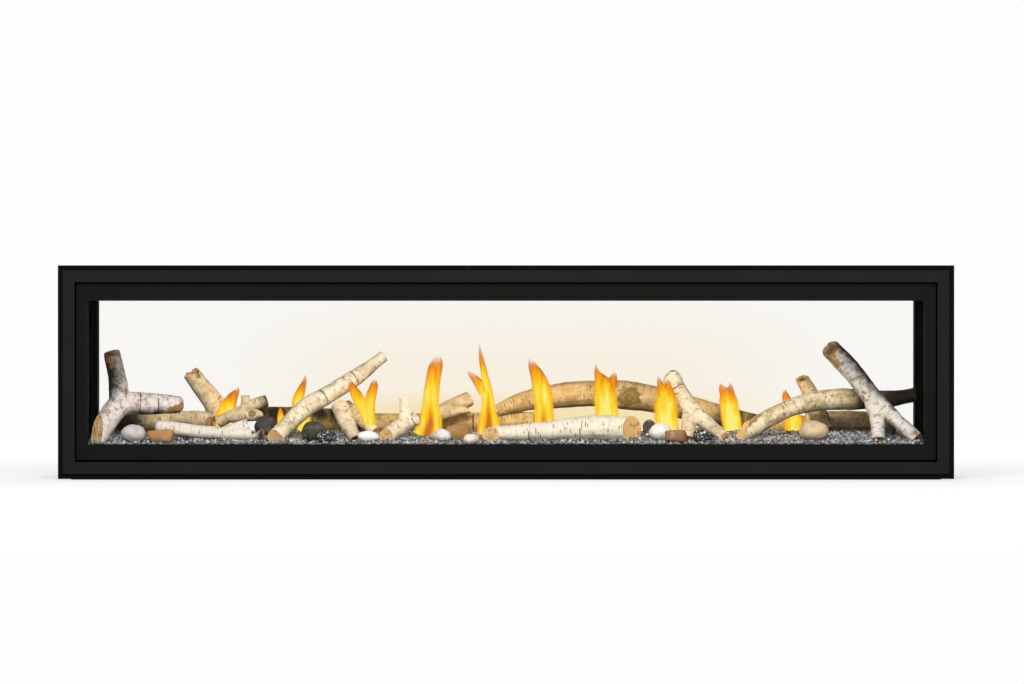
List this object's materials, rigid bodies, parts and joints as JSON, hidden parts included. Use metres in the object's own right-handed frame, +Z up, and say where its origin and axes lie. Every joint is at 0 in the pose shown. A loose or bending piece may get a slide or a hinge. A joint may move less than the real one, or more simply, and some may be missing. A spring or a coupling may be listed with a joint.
{
  "type": "double-sided gas fireplace",
  "caption": "Long, low see-through gas fireplace: slim black surrounds, tilting glazed doors on both sides, a crushed-glass bed over a burner, and birch-look logs with stones.",
  "frame": {"origin": "middle of the base pan's underside", "axes": "+X along the opening to the right, +Y from the front face to the rear face, +Z up"},
  "size_m": [1.955, 0.56, 0.468],
  "materials": {
    "black_steel": "satin black powder coat",
    "firebox_black": "matt heat-resisting black",
    "galvanised_steel": "galvanised sheet",
    "bright_steel": "zinc plated",
    "burner_steel": "plain stainless sheet",
    "tube_aluminium": "drawn or die cast",
    "brass": "turned",
    "lever_yellow": "dipped",
    "black_plastic": "fine moulded texture",
    "switch_plastic": "polished",
    "door_glass": "clear ceramic glass",
    "gasket_fibre": "woven glass-fibre tape",
    "catch_magnet": "sintered",
    "crushed_glass": "loose black and clear chips",
    "stones": "tumbled",
    "birch_logs": "painted birch bark"
  },
  "bodies": {
    "fireplace": {"front_surround": "black_steel", "rear_surround": "black_steel", "front_face_frame": "black_steel", "rear_face_frame": "black_steel", "firebox_end_left": "firebox_black", "firebox_end_right": "firebox_black", "firebox_ceiling": "firebox_black", "firebox_floor": "firebox_black", "ceiling_baffle": "firebox_black", "control_access_cover": "firebox_black", "base_pan": "galvanised_steel", "cabinet_top": "galvanised_steel", "cabinet_end_left": "galvanised_steel", "cabinet_end_right": "galvanised_steel", "flue_collar": "galvanised_steel", "air_collar": "galvanised_steel", "cabinet_screws": "bright_steel", "burner_tub": "burner_steel", "burner_top": "burner_steel", "venturi_tube": "burner_steel", "pilot_bracket": "burner_steel", "gas_connector": "burner_steel", "pilot_electrodes": "burner_steel", "manifold_tube": "tube_aluminium", "pilot_tube": "tube_aluminium", "gas_valve": "tube_aluminium", "orifice_fitting": "brass", "gas_inlet_fitting": "brass", "shutoff_body": "brass", "control_module": "black_plastic", "door_magnets": "catch_magnet", "media_bed": "crushed_glass", "river_stones": "stones", "log_front_center": "birch_logs", "log_long_leaning": "birch_logs", "log_far_left_fork": "birch_logs", "log_left_fork": "birch_logs", "log_front_left": "birch_logs", "log_small_fork": "birch_logs", "log_center_fork": "birch_logs", "log_far_right_fork": "birch_logs", "log_right_curve": "birch_logs", "log_right_post": "birch_logs", "log_rear_right": "birch_logs", "log_rear_row": "birch_logs", "log_rear_arch": "birch_logs", "log_props": "birch_logs", "log_short_sticks": "birch_logs"},
    "front_door": {"front_door_frame": "black_steel", "front_glass": "door_glass", "front_glass_gasket": "gasket_fibre", "front_glass_clips": "bright_steel"},
    "rear_door": {"rear_door_frame": "black_steel", "rear_glass": "door_glass", "rear_glass_gasket": "gasket_fibre", "rear_glass_clips": "bright_steel"},
    "shutoff_lever": {"shutoff_lever": "lever_yellow"},
    "valve_knob": {"valve_knob": "black_plastic"},
    "rocker_switch": {"rocker_switch": "switch_plastic"},
    "air_shutter": {"air_shutter": "burner_steel"}
  },
  "joints": [
    {"name": "front_door_tilt", "type": "hinge", "parent": "fireplace", "child": "front_door", "pos_m": [0, -0.254, 0.051], "axis": [1, 0, 0], "range_deg": [0, 70]},
    {"name": "rear_door_tilt", "type": "hinge", "parent": "fireplace", "child": "rear_door", "pos_m": [0, 0.254, 0.051], "axis": [-1, 0, 0], "range_deg": [0, 70]},
    {"name": "shutoff_turn", "type": "hinge", "parent": "fireplace", "child": "shutoff_lever", "pos_m": [-0.907, 0.12, 0.048], "axis": [0, 0, 1], "range_deg": [0, 90]},
    {"name": "flame_height_turn", "type": "hinge", "parent": "fireplace", "child": "valve_knob", "pos_m": [-0.85, -0.05, 0.028], "axis": [0, -1, 0], "range_deg": [0, 120]},
    {"name": "switch_rock", "type": "hinge", "parent": "fireplace", "child": "rocker_switch", "pos_m": [0.765, 0, 0.044], "axis": [0, 1, 0], "range_deg": [0, 24]},
    {"name": "air_shutter_turn", "type": "hinge", "parent": "fireplace", "child": "air_shutter", "pos_m": [-0.705, 0, 0.04], "axis": [1, 0, 0], "range_deg": [0, 45]}
  ]
}
